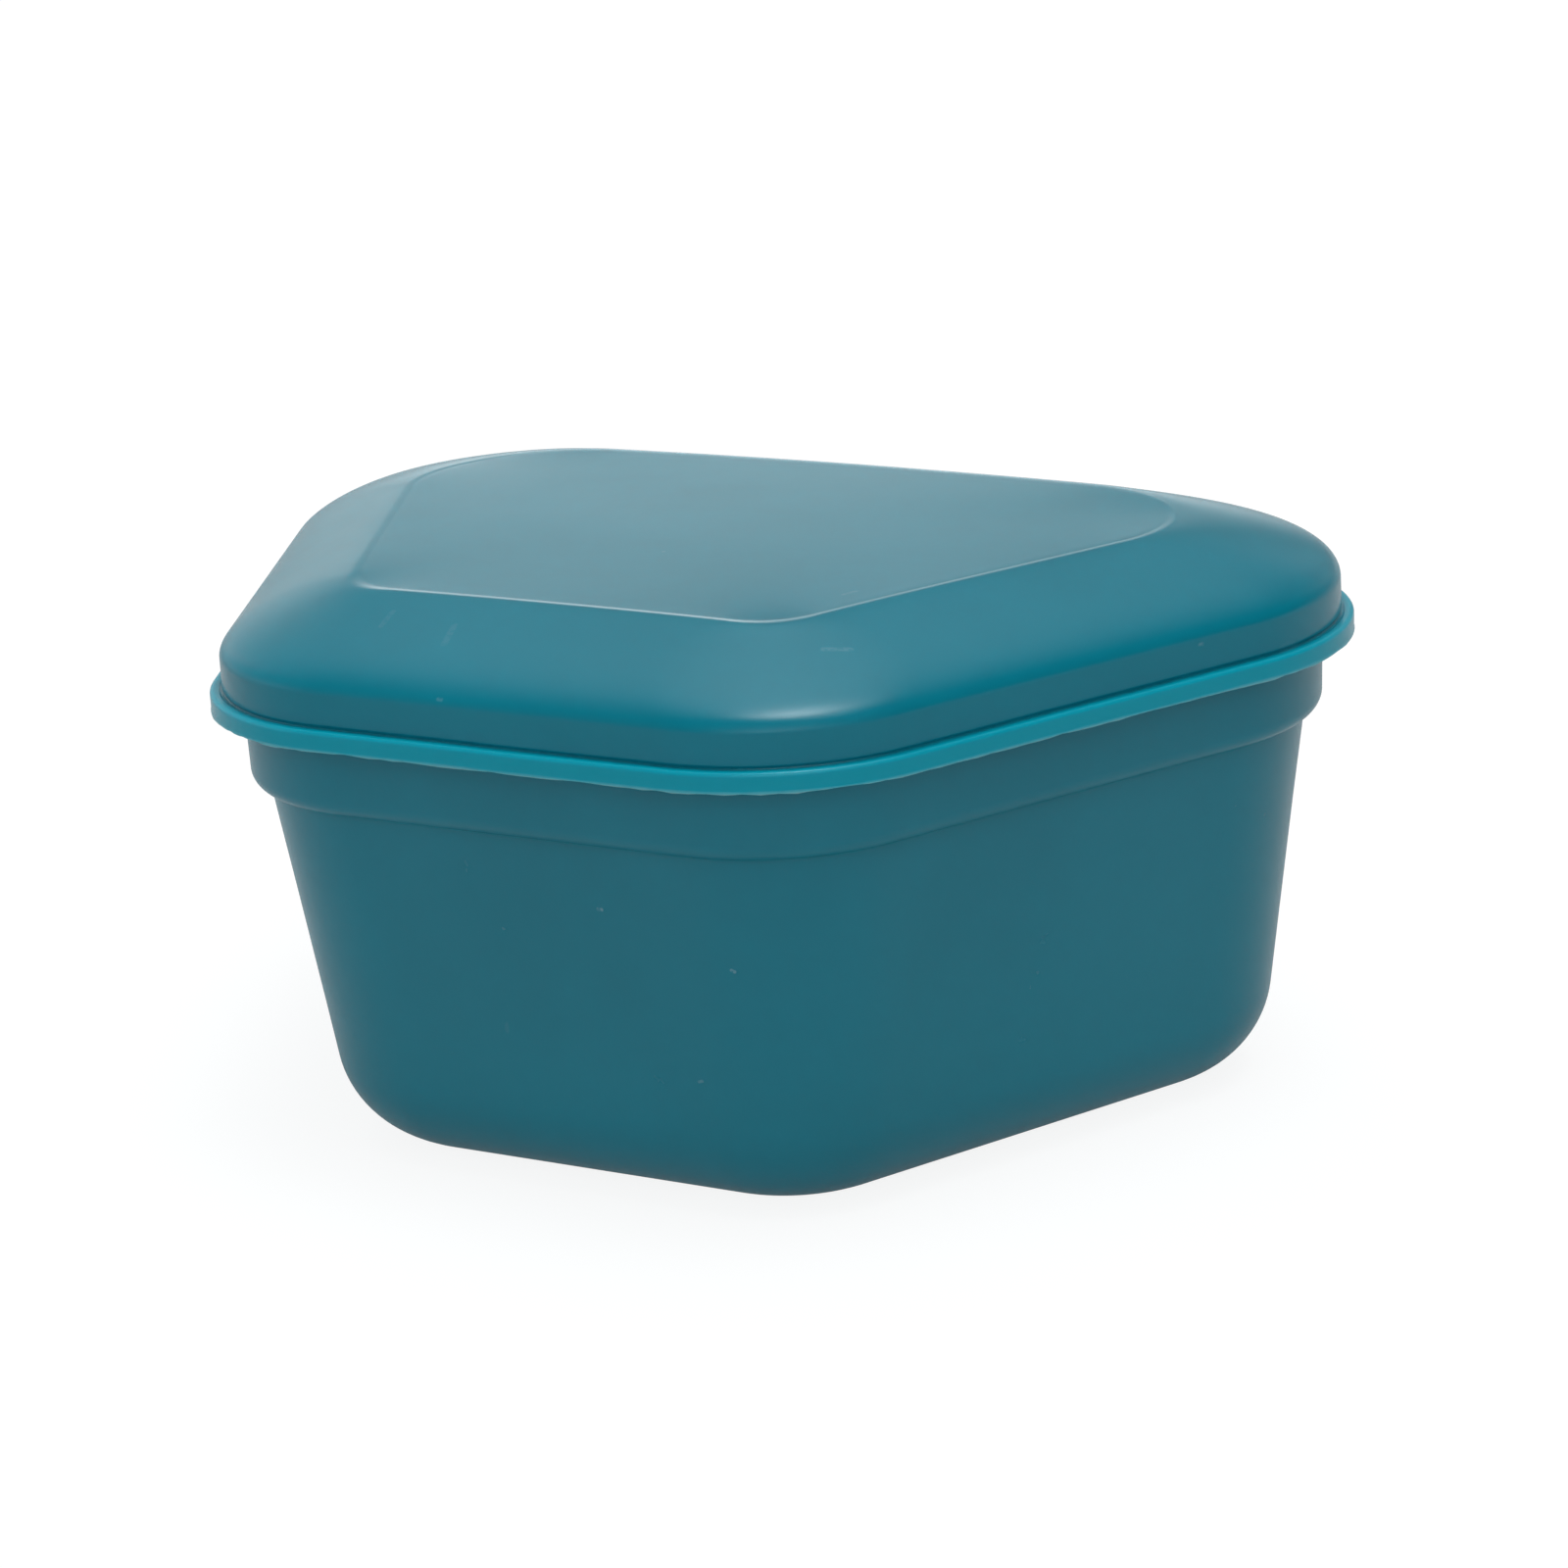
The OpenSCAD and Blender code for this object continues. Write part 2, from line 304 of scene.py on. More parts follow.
def inset_bez(t):
    v = dbez(t)
    return bez(t) + LID_T * np.array([-v[1], v[0]]) / np.linalg.norm(v)


def lid_r(d, r0, rc, swell, grow=0.0):
    if d < WALL_IN:
        return r0 - d
    w = min(1, max(0, (d - WALL_IN) / (CREST_IN - WALL_IN)))
    more = max(0, d - CREST_IN)
    return (r0 - WALL_IN) * (1 - w) + rc * w + swell * 4 * w * (1 - w) - more + grow * more / PANEL_W


def make_lid():
    ts = np.concatenate([np.linspace(0, 0.1, 12)[:-1], np.linspace(0.1, 1, 39)])
    over = [bez(t) for t in ts]
    under = [inset_bez(t) for t in ts]
    ud = np.array([p[0] for p in under])[::-1]
    uz = np.array([p[1] for p in under])[::-1]
    zin = lambda d: float(np.interp(d, ud, uz))
    panel_z = CREST_Z - PANEL_IN
    rows, kind, dull = [], [], []

    def add(points, k, dim=0.0):
        for i, p in enumerate(points):
            rows.append((float(p[0]), float(p[1])))
            kind.append(k)
            dull.append(dim if isinstance(dim, float) else dim[i])

    add([(CREST_IN + 1.9, panel_z - LID_T - 0.1), (CREST_IN + 1.7, panel_z - LID_T - 0.1)], "in")
    add([p for p in under if p[0] > RIB_B + 0.45], "in")
    rib = rounded([(RIB_B + 0.45, zin(RIB_B + 0.45)), (RIB_B, zin(RIB_B) - 0.05, 0.35),
                   (RIB_B - 0.04, RIB_Z, 0.3), (RIB_A + 0.04, RIB_Z, 0.3),
                   (RIB_A, zin(RIB_A) - 0.05, 0.3), (RIB_A - 0.4, zin(RIB_A - 0.4))], step=1.2)
    add(rib[1:-1], "rib")
    add([p for p in under if WALL_IN + LID_T + 0.05 < p[0] < RIB_A - 0.4], "in")
    lower = rounded([(WALL_IN + LID_T, WALL_Z - 0.3), (WALL_IN + LID_T, LIP_Z + 1.75, 0.15),
                     (1.75, LIP_Z + 1.4, 0.15), (1.75, LIP_Z + 0.02, 0.3), (0.62, LIP_Z, 0.0)],
                    step=0.9)
    add(lower[1:], "plain")
    # Flash fin: two rows that run below and just outside the lip's lower edge
    add([(0.34, LIP_Z + 0.015)], "plain")
    add([(0.15, LIP_Z + 0.01)], "fin_in")
    add([(0.06, LIP_Z + 0.02)], "fin_tip")
    add([(0.05, LIP_Z + 0.05)], "fin_tip2")
    add([(0.09, LIP_Z + 0.13)], "fin_out")
    lip = rounded([(0.09, LIP_Z + 0.16), (0.07, LIP_Z + LIP_H, 0.38), (0.78, LIP_Z + LIP_H - 0.02, 0.14),
                   (0.92, LIP_Z + LIP_H - 0.09, 0.08), (1.16, LIP_Z + LIP_H - 0.07, 0.08),
                   (1.17, LIP_Z + LIP_H + 0.06, 0.08), (WALL_IN, LIP_Z + LIP_H + 0.22, 0.15),
                   (WALL_IN, WALL_Z)], step=0.7, edge=0.08)
    # The lip and the steep part of the dome are duller than the rest
    add(lip, "plain", [0.5 if p[0] < 0.9 else 0.22 for p in lip])
    steep = [math.degrees(math.atan2(abs(v[1]), abs(v[0]))) for v in (dbez(t) for t in ts)]
    soft = lambda a, lo, hi: (lambda u: u * u * (3 - 2 * u))(min(1.0, max(0.0, (a - lo) / (hi - lo))))
    dims = [0.72 * soft(a, 46, 60) - 0.50 * soft(a, 70, 88) for a in steep]
    add(over[::-1][1:], "out", dims[::-1][1:])
    # The crest: a soft shoulder that sinks to the top panel
    for i in range(1, 15):
        u = i / 14
        add([(CREST_IN + PANEL_W * u, CREST_Z - PANEL_IN * u * u * (3 - 2 * u))], "out")

    def radii(d, z, k):
        if kind[k] == "out":
            return lid_r(d, FRONT_R, CREST_RF, SWELL_F, 2.0), lid_r(d, BACK_R, CREST_RB, SWELL_B)
        if kind[k] == "in":
            q = max(WALL_IN, d - LID_T)
            e = d - q
            return lid_r(q, FRONT_R, CREST_RF, SWELL_F) - e, lid_r(q, BACK_R, CREST_RB, SWELL_B) - e
        return plain_r(d, z)

    # Ragged height and reach of the flash around the lip
    s = ARC
    n1 = np.array([noise.noise(Vector((v / 5.5, 3.1, 0.0))) for v in s])
    n2 = np.array([noise.noise(Vector((v / 1.6, 8.7, 0.0))) for v in s])
    n3 = np.array([noise.noise(Vector((v / 0.8, 1.7, 2.0))) for v in s])
    ragged = np.clip(0.5 + 0.85 * n1 + 0.60 * n2 + 0.50 * n3, 0.0, 1.35)
    ring_dir = _o / np.linalg.norm(_o, axis=1)[:, None]
    # The crest sags a little at its corners
    sag = np.zeros(RING_N)
    back = N_FRONT + N_FARC + N_SIDE + N_BARC // 2
    for mid, depth_ in ((N_FRONT + N_FARC // 2, 0.18), (RING_N - N_FRONT - N_FARC // 2, 0.18),
                        (back, 0.12), (RING_N - back, 0.12)):
        gap = np.abs(ARC - ARC[mid])
        sag += depth_ * np.exp(-(np.minimum(gap, PERIMETER - gap) / 11.0) ** 2)
    # How far each point of the ring faces sideways and backwards
    along = np.roll(_o, -1, 0) - np.roll(_o, 1, 0)
    along /= np.linalg.norm(along, axis=1)[:, None]
    sideways, backwards = along[:, 1] ** 2, np.clip(-along[:, 0], 0, 1) ** 2
    forwards = np.clip(along[:, 0], 0, 1) ** 2
    blunt = 0.32 + 0.48 * sideways
    sag += 0.06 * forwards
    lipwave = 0.035 * np.array([noise.noise(Vector((v / 11.0, 5.5, 1.0))) for v in s])

    def tweak(P, k, d, z):
        P = P.copy()
        t = kind[k]
        if t in ("fin_tip", "fin_tip2"):
            P[:, 2] -= 0.15 * ragged
        elif t == "fin_in":
            P[:, 2] -= 0.05 * ragged
        if t in ("plain", "fin_in", "fin_tip", "fin_tip2", "fin_out") and d < 1.1:
            P[:, 2] += lipwave
        if t == "out":
            # ... and its long side bows out at the back
            P[:, 2] -= sag * min(1, max(0, (d - 4.0) / (CREST_IN - 4.0))) ** 2
            bow = np.clip(1 - (P[:, 0] / 21.0) ** 2, -0.5, 1) * np.clip(P[:, 1] / 22.0, 0, 1) ** 2
            P[:, 1] += 0.7 * bow * min(1, max(0, (d - WALL_IN) / (CREST_IN - WALL_IN)))
            # The crest's edge is rounded, and the panel isn't sunk along the back
            P[:, 2] -= math.tan(SLOPE) * blunt * np.log1p(np.exp(-abs(d - CREST_IN) / blunt))
            P[:, 2] += 0.9 * max(0.0, CREST_Z - z) * backwards * (d > CREST_IN)
            P[:, 2] += 0.02 * (wave(P, 16.0, 4.0) - 0.7) * min(1, max(0, (z - WALL_Z) / 3))
        return P

    def wear(k, d, z):
        t = kind[k]
        if t in ("fin_tip", "fin_tip2"):
            return 0.35 + 0.65 * np.clip(ragged, 0, 1)
        if t in ("fin_out", "fin_in"):
            return 0.22 * np.clip(ragged, 0, 1)
        return 0.0

    def painted_glow(k, d, z):
        # The lip stands free; its colour is painted brighter here, a painted glow for the light that comes through
        # it
        if kind[k] in ("out", "in", "rib") or z > LIP_Z + LIP_H + 0.05:
            return 0.0
        return min(1.0, max(0.0, (1.0 - d) / 0.5))

    # The sunk panel is a little crowned
    d_, z_ = rows[-1]
    rim = outline(d_, *radii(d_, z_, len(rows) - 1))
    crown = membrane(tweak(np.column_stack([rim, np.full(RING_N, z_)]), len(rows) - 1, d_, z_))
    rise = min(0.30, *(float(((CREST_Z - 0.018 - h[:, 1]) / np.maximum(h[:, 0], 0.03)).min())
                       for h in crown.values()))

    def top(P, s_):
        P = P.copy()
        P[:, 2] = crown[s_][:, 1] + rise * crown[s_][:, 0]
        P[:, 2] += 0.015 * wave(P, 16.0, 11.0) * (1 - s_ * s_)
        return P

    def ceiling(P, s_):
        P = P.copy()
        P[:, 2] += rise * crown[s_][:, 0]
        return P

    return shell("lid_shell", rows, radii, ceiling, top, tweak, wear, painted_glow, dull)


# ----------------------------------------------------------------------------
# Tub
# ----------------------------------------------------------------------------
COLLAR_Z, COLLAR_IN, BODY_IN = 30.6, 2.6, 4.15
DRAFT, FOOT_R, FOOT_SOFT, TUB_T, RIM_Z, SOLE_IN = math.radians(8), 8.5, 3.2, 1.6, 41.5, 0.5
FOOT_C = BODY_IN + (FOOT_R + math.sin(DRAFT) * (COLLAR_Z - FOOT_R)) / math.cos(DRAFT)
LEDGE_Z = COLLAR_Z + 1.5
INNER_R = FOOT_R - TUB_T


def wall_d(k, z):
    return FOOT_C - (k + math.sin(DRAFT) * (z - FOOT_R)) / math.cos(DRAFT)


def tub_r(d, z, k=0):
    soft = FOOT_SOFT * max(0.0, 1 - z / COLLAR_Z)
    return FRONT_R - d + soft, BACK_R - d


def make_tub():
    foot_out = arc_pts(FOOT_C, FOOT_R, FOOT_R, 270, 188, 22)
    foot_in = arc_pts(FOOT_C, FOOT_R, INNER_R, 188, 270, 20)
    rows = []
    rows += rounded([(FOOT_C + 3.9, SOLE_IN), (FOOT_C + 3.5, SOLE_IN, 0.0), (FOOT_C + 3.15, 0.0, 0.2),
                     foot_out[0]], step=1.2)
    rows += foot_out[1:]
    up = rounded([foot_out[-1], (BODY_IN + 0.02, COLLAR_Z - 0.06, 0.16),
                  (COLLAR_IN + 0.13 + 1.05, COLLAR_Z + 0.03, 0.0)], step=1.5)
    rows += up[1:]
    rows += arc_pts(COLLAR_IN + 0.13 + 1.4, COLLAR_Z + 0.04 + 1.4, 1.4, 263, 180, 14)
    rows += rounded([rows[-1], (COLLAR_IN, LIP_Z - 0.1, 0.2), (COLLAR_IN - 0.5, LIP_Z + 0.35, 0.22),
                     (COLLAR_IN - 0.5, LIP_Z + 0.95, 0.22), (COLLAR_IN, LIP_Z + 1.35, 0.2),
                     (COLLAR_IN, RIM_Z, 0.62), (RIM_IN, RIM_Z, 0.5), (RIM_IN, LEDGE_Z, 0.4),
                     (wall_d(INNER_R, LEDGE_Z), LEDGE_Z, 0.3), foot_in[0]], step=1.5)[1:]
    rows += foot_in[1:]
    rows.append((FOOT_C + 0.6, rows[-1][1]))
    rows = [(float(p[0]), float(p[1])) for p in rows]

    def tweak(P, k, d, z):
        # Walls of a moulded tub sink in by a few hundredths between their corners
        if 6 < z < COLLAR_Z - 2 and k < len(rows) / 2:
            P = P.copy()
            w = min(1, (z - 6) / 6, (COLLAR_Z - 2 - z) / 6)
            n = np.linalg.norm(P[:, :2], axis=1)[:, None]
            P[:, :2] -= 0.05 * w * (0.5 + 0.5 * wave(P, 18.0, 9.0))[:, None] * P[:, :2] / n
        return P

    def floor(P, s_):
        P = P.copy()
        P[:, 2] += 0.015 * wave(P, 14.0, 2.0)
        return P

    return shell("tub_shell", rows, tub_r, None, floor, tweak)


# ----------------------------------------------------------------------------
# Drain basket
# ----------------------------------------------------------------------------
BASKET_Z, BASKET_T, BASKET_GAP, BASKET_R = 6.5, 1.2, 0.5, 5.0
HOLE_D, HOLE_PITCH, SLOT_W, SLOT_PITCH, TAB_H = 4.0, 7.2, 2.6, 6.4, 6.6
FLANGE_Z = LEDGE_Z + 0.05
BASKET_K = INNER_R - BASKET_GAP
BASKET_CZ = BASKET_Z + BASKET_R
BASKET_C = FOOT_C + (BASKET_R - BASKET_K - math.sin(DRAFT) * (BASKET_CZ - FOOT_R)) / math.cos(DRAFT)


def inside(x, y, k):
    return abs(y) <= DEPTH / 2 - k and CA * abs(x) - SA * y <= SIDE_H - k


def add_mesh(name, verts, faces):
    me = bpy.data.meshes.new(name)
    me.from_pydata([tuple(v) for v in verts], [], faces)
    me.update()
    ob = bpy.data.objects.new(name, me)
    scene.collection.objects.link(ob)
    return ob


def lathe_cutter(bm, x, y, profile, n=36):
    """Round cutter with flared ends: profile is [(radius, z)] from bottom to top."""
    rings = []
    for r, z in profile:
        rings.append([bm.verts.new(((x + r * math.cos(2 * math.pi * i / n)) * MM,
                                    (y + r * math.sin(2 * math.pi * i / n)) * MM, z * MM))
                      for i in range(n)])
    for a, b in zip(rings, rings[1:]):
        for i in range(n):
            j = (i + 1) % n
            bm.faces.new((a[i], a[j], b[j], b[i]))
    bm.faces.new(rings[0][::-1])
    bm.faces.new(rings[-1])


def slot_cutter(bm, origin, out, z0, h, width, reach, n=14):
    """Upright slot with round ends, cut along the direction out."""
    along = Vector((-out.y, out.x, 0))
    prof = []
    r = width / 2
    for i in range(n + 1):
        t = math.pi * i / n
        prof.append((r * math.cos(t), z0 + h - r + r * math.sin(t)))
    for i in range(n + 1):
        t = math.pi + math.pi * i / n
        prof.append((r * math.cos(t), z0 + r + r * math.sin(t)))
    rings = []
    for step in reach:
        rings.append([bm.verts.new((Vector((origin.x, origin.y, 0)) + out * step + along * a
                                    + Vector((0, 0, z))) * MM) for a, z in prof])
    m = len(prof)
    for a, b in zip(rings, rings[1:]):
        for i in range(m):
            j = (i + 1) % m
            bm.faces.new((a[i], b[i], b[j], a[j]))
    bm.faces.new(rings[0])
    bm.faces.new(rings[-1][::-1])


def boolean(ob, other, how):
    mod = ob.modifiers.new("cut", "BOOLEAN")
    mod.operation = how
    mod.solver = "EXACT"
    mod.object = other
    dg = bpy.context.evaluated_depsgraph_get()
    me = bpy.data.meshes.new_from_object(ob.evaluated_get(dg), depsgraph=dg)
    ob.modifiers.clear()
    old = ob.data
    ob.data = me
    bpy.data.meshes.remove(old)
    bpy.data.objects.remove(other)


def make_basket():
    foot_out = arc_pts(BASKET_C, BASKET_CZ, BASKET_R, 270, 188, 16)
    foot_in = arc_pts(BASKET_C, BASKET_CZ, BASKET_R - BASKET_T, 188, 270, 14)
    rows = [(BASKET_C + 0.6, BASKET_Z)] + foot_out
    rows += rounded([foot_out[-1], (wall_d(BASKET_K, FLANGE_Z), FLANGE_Z, 0.25),
                     (RIM_IN + 0.3, FLANGE_Z, 0.25), (RIM_IN + 0.3, FLANGE_Z + 1.15, 0.35),
                     (wall_d(BASKET_K - BASKET_T, FLANGE_Z + 1.15), FLANGE_Z + 1.15, 0.45),
                     foot_in[0]], step=2.0)[1:]
    rows += foot_in[1:]
    rows.append((BASKET_C + 0.6, rows[-1][1]))
    ob = shell("basket_shell", [(float(a), float(b)) for a, b in rows], tub_r, None, None)

    # Lifting tabs, sunk into the side walls and joined to them
    bm = bmesh.new()
    y = -4.0
    k = wall_d(BASKET_K, FLANGE_Z) + 0.1
    base = Vector(((SIDE_H - k + SA * y) / CA, y, 0))
    out = Vector((CA, -SA, 0))
    along = Vector((SA, CA, 0))
    prof = [(-8, -2.2)]
    prof += [(-4 + 4 * math.cos(t), TAB_H - 4 + 4 * math.sin(t)) for t in np.linspace(math.pi, math.pi / 2, 14)]
    prof += [(4 + 4 * math.cos(t), TAB_H - 4 + 4 * math.sin(t)) for t in np.linspace(math.pi / 2, 0, 14)]
    prof += [(8, -2.2)]
    for side in (1, -1):
        sheets = []
        for depth, grow in ((-BASKET_T, -0.25), (-BASKET_T + 0.12, -0.07), (-BASKET_T + 0.25, 0),
                            (-0.25, 0), (-0.12, -0.07), (0.0, -0.25)):
            ring = []
            for a, z in prof:
                n_ = math.hypot(a, z - 1.5) or 1
                a2, z2 = a + grow * a / n_, z + (grow * (z - 1.5) / n_ if z > 0 else 0)
                p = base + out * depth + along * a2 + Vector((0, 0, FLANGE_Z + z2))
                ring.append(bm.verts.new((p.x * side * MM, p.y * MM, p.z * MM)))
            sheets.append(ring)
        m = len(prof)
        for a, b in zip(sheets, sheets[1:]):
            for i in range(m):
                j = (i + 1) % m
                bm.faces.new((a[i], a[j], b[j], b[i]))
        bm.faces.new(sheets[0][::-1])
        bm.faces.new(sheets[-1])
    bmesh.ops.recalc_face_normals(bm, faces=bm.faces)
    me = bpy.data.meshes.new("tabs")
    bm.to_mesh(me)
    bm.free()
    tabs = bpy.data.objects.new("tabs", me)
    scene.collection.objects.link(tabs)
    boolean(ob, tabs, "UNION")

    # Drain holes and slots
    bm = bmesh.new()
    dy = HOLE_PITCH * math.sin(math.pi / 3)
    r = HOLE_D / 2
    z0, z1 = BASKET_Z, BASKET_Z + BASKET_T
    for j in range(-4, 5):
        for i in range(-8, 9):
            x, yy = (i + (abs(j) % 2) / 2) * HOLE_PITCH, j * dy
            if inside(x, yy, BASKET_C + HOLE_D / 2 + 0.6):
                lathe_cutter(bm, x, yy, [(r + 0.6, z0 - 0.4), (r + 0.2, z0), (r + 0.05, z0 + 0.12), (r, z0 + 0.3),
                                         (r, z1 - 0.3), (r + 0.05, z1 - 0.12), (r + 0.2, z1), (r + 0.6, z1 + 0.4)])
    rowdefs = [(Vector((0, -1, 0)), DEPTH / 2 - BODY_IN, 0.0, 4), (Vector((0, 1, 0)), DEPTH / 2 - BODY_IN, 0.0, 7),
               (Vector((CA, -SA, 0)), SIDE_H - BODY_IN, -6.5, 5), (Vector((-CA, -SA, 0)), SIDE_H - BODY_IN, 6.5, 5)]
    for out_, h, mid, n_ in rowdefs:
        along_ = Vector((-out_.y, out_.x, 0))
        for i in range(n_):
            at_ = mid + (i - (n_ - 1) / 2) * SLOT_PITCH
            if mid and abs(at_) > 15:
                continue
            o_ = along_ * at_
            slot_cutter(bm, o_, out_, 15.0, 12.0, SLOT_W, (h - 11, h - 1))
    bmesh.ops.recalc_face_normals(bm, faces=bm.faces)
    me = bpy.data.meshes.new("cutters")
    bm.to_mesh(me)
    bm.free()
    cut = bpy.data.objects.new("cutters", me)
    scene.collection.objects.link(cut)
    boolean(ob, cut, "DIFFERENCE")
    me = ob.data
    me.name = "basket_shell"
    me.polygons.foreach_set("use_smooth", [True] * len(me.polygons))
    me.set_sharp_from_angle(angle=math.radians(38))
    return ob


# ----------------------------------------------------------------------------
# Materials: moulded polypropylene
# ----------------------------------------------------------------------------
def plastic(name, colour, deep, pale, glow, rough, coat_seed, sss=0.6, nicks=()):
    m = bpy.data.materials.new(name)
    m.use_nodes = True
    nt = m.node_tree
    nt.nodes.clear()
    N, L = nt.nodes.new, nt.links.new
    out = N("ShaderNodeOutputMaterial")
    bsdf = N("ShaderNodeBsdfPrincipled")
    L(bsdf.outputs[0], out.inputs[0])
    bsdf.inputs["IOR"].default_value = 1.49
    bsdf.inputs["Subsurface Weight"].default_value = sss
    bsdf.inputs["Subsurface Radius"].default_value = (0.25, 0.95, 1.0)
    bsdf.inputs["Subsurface Scale"].default_value = 0.001

    tc = N("ShaderNodeTexCoord")
    mp = N("ShaderNodeMapping")
    mp.inputs["Location"].default_value = (coat_seed, coat_seed * 0.7, -coat_seed)
    L(tc.outputs["Object"], mp.inputs["Vector"])
    P = mp.outputs[0]

    def tex(scale, detail=3.0, rough_=0.5, dist=0.0, stretch=None):
        v = P
        if stretch is not None:
            s = N("ShaderNodeMapping")
            s.inputs["Scale"].default_value = stretch
            L(P, s.inputs["Vector"])
            v = s.outputs[0]
        t = N("ShaderNodeTexNoise")
        t.inputs["Scale"].default_value = scale
        t.inputs["Detail"].default_value = detail
        t.inputs["Roughness"].default_value = rough_
        t.inputs["Distortion"].default_value = dist
        L(v, t.inputs["Vector"])
        return t.outputs["Fac"]

    def ramp(v, lo, hi, a=0.0, b=1.0):
        r = N("ShaderNodeMapRange")
        r.clamp = True
        r.interpolation_type = "SMOOTHSTEP"
        r.inputs["From Min"].default_value = lo
        r.inputs["From Max"].default_value = hi
        r.inputs["To Min"].default_value = a
        r.inputs["To Max"].default_value = b
        L(v, r.inputs["Value"])
        return r.outputs[0]

    def math_(op, a, b=None):
        n = N("ShaderNodeMath")
        n.operation = op
        for i, v in enumerate((a, b)):
            if v is None:
                continue
            if isinstance(v, (int, float)):
                n.inputs[i].default_value = v
            else:
                L(v, n.inputs[i])
        return n.outputs[0]

    def mix(fac, a, b):
        n = N("ShaderNodeMix")
        n.data_type = "RGBA"
        if isinstance(fac, (int, float)):
            n.inputs["Factor"].default_value = fac
        else:
            L(fac, n.inputs["Factor"])
        for key, v in (("A", a), ("B", b)):
            sock = [s for s in n.inputs if s.name == key and s.type == "RGBA"][0]
            if isinstance(v, tuple):
                sock.default_value = (*v, 1)
            else:
                L(v, sock)
        return [s for s in n.outputs if s.type == "RGBA"][0]

    # Slow drift of the pigment, with flow marks that run up the walls, and fine mottling
    cloud = ramp(tex(38.0, 3.0, 0.55, 0.4), 0.34, 0.66)
    flow = ramp(tex(70.0, 4.0, 0.6, 0.6, (1.0, 1.0, 0.28)), 0.36, 0.64)
    fine = ramp(tex(900.0, 2.0, 0.5), 0.3, 0.7)
    col = mix(cloud, deep, colour)
    col = mix(math_("MULTIPLY", flow, 0.20), col, tuple(1.12 * c for c in colour))
    col = mix(math_("MULTIPLY", fine, 0.10), col, tuple(0.86 * c for c in colour))

    # Dust and scuffs: a few pale specks and short faint scratches
    vor = N("ShaderNodeTexVoronoi")
    vor.feature = "F1"
    vor.inputs["Scale"].default_value = 210.0
    vor.inputs["Randomness"].default_value = 1.0
    L(P, vor.inputs["Vector"])
    sep = N("ShaderNodeSeparateColor")
    L(vor.outputs["Color"], sep.inputs[0])
    rare = ramp(sep.outputs[0], 0.955, 0.965)
    dot = ramp(vor.outputs["Distance"], 0.05, 0.085, 1.0, 0.0)
    speck = math_("MULTIPLY", rare, dot)
    scr = tex(420.0, 2.0, 0.5, 0.0, (1.0, 0.06, 0.35))
    scr = ramp(scr, 0.735, 0.765)
    patch = ramp(tex(55.0, 2.0, 0.5), 0.50, 0.62)
    scratch = math_("MULTIPLY", scr, patch)
    mark = math_("MAXIMUM", math_("MULTIPLY", speck, 0.17), math_("MULTIPLY", scratch, 0.035))
    # Single scuffs and nicks: (from, to, radius, strength), broken up along their length
    broken = ramp(tex(2600.0, 2.0, 0.6), 0.36, 0.56, 0.35, 1.0)
    for a_, b_, r_, k_ in nicks:
        a_, b_ = Vector(a_) * MM, Vector(b_) * MM
        ab = b_ - a_
        rel = N("ShaderNodeVectorMath")
        rel.operation = "SUBTRACT"
        rel.inputs[1].default_value = a_
        L(tc.outputs["Object"], rel.inputs[0])
        along = N("ShaderNodeVectorMath")
        along.operation = "DOT_PRODUCT"
        along.inputs[1].default_value = ab / ab.length_squared
        L(rel.outputs[0], along.inputs[0])
        held = N("ShaderNodeClamp")
        L(along.outputs["Value"], held.inputs[0])
        foot = N("ShaderNodeVectorMath")
        foot.operation = "SCALE"
        foot.inputs[0].default_value = ab
        L(held.outputs[0], foot.inputs["Scale"])
        off = N("ShaderNodeVectorMath")
        off.operation = "DISTANCE"
        L(rel.outputs[0], off.inputs[0])
        L(foot.outputs[0], off.inputs[1])
        near = ramp(off.outputs["Value"], 0.35 * r_ * MM, r_ * MM, k_, 0.0)
        mark = math_("MAXIMUM", mark, math_("MULTIPLY", near, broken))
    col = mix(mark, col, (0.33, 0.50, 0.55))

    # Painted light: the free lip's colour is painted brighter and more saturated, standing in for light that comes
    # through it
    lit = N("ShaderNodeAttribute")
    lit.attribute_name = "painted_glow"
    col = mix(lit.outputs["Fac"], col, glow)

    # Flash along the lip, paler where it is thin
    at = N("ShaderNodeAttribute")
    at.attribute_name = "wear"
    worn = math_("MULTIPLY", at.outputs["Fac"], 0.72)
    col = mix(worn, col, pale)
    L(col, bsdf.inputs["Base Color"])

    lost = N("ShaderNodeAttribute")
    lost.attribute_name = "dull"
    L(math_("MULTIPLY", math_("SUBTRACT", 1.0, lost.outputs["Fac"]), 0.5), bsdf.inputs["Specular IOR Level"])

    # Satin skin: roughness drifts, scuffs are duller
    rr = math_("ADD", math_("MULTIPLY", ramp(tex(120.0, 4.0, 0.6), 0.3, 0.7), 0.04), rough - 0.02)
    rr = math_("ADD", rr, math_("MULTIPLY", fine, 0.015))
    rr = math_("ADD", rr, math_("MULTIPLY", mark, 0.25))
    rr = math_("ADD", rr, math_("MULTIPLY", at.outputs["Fac"], 0.15))
    L(rr, bsdf.inputs["Roughness"])

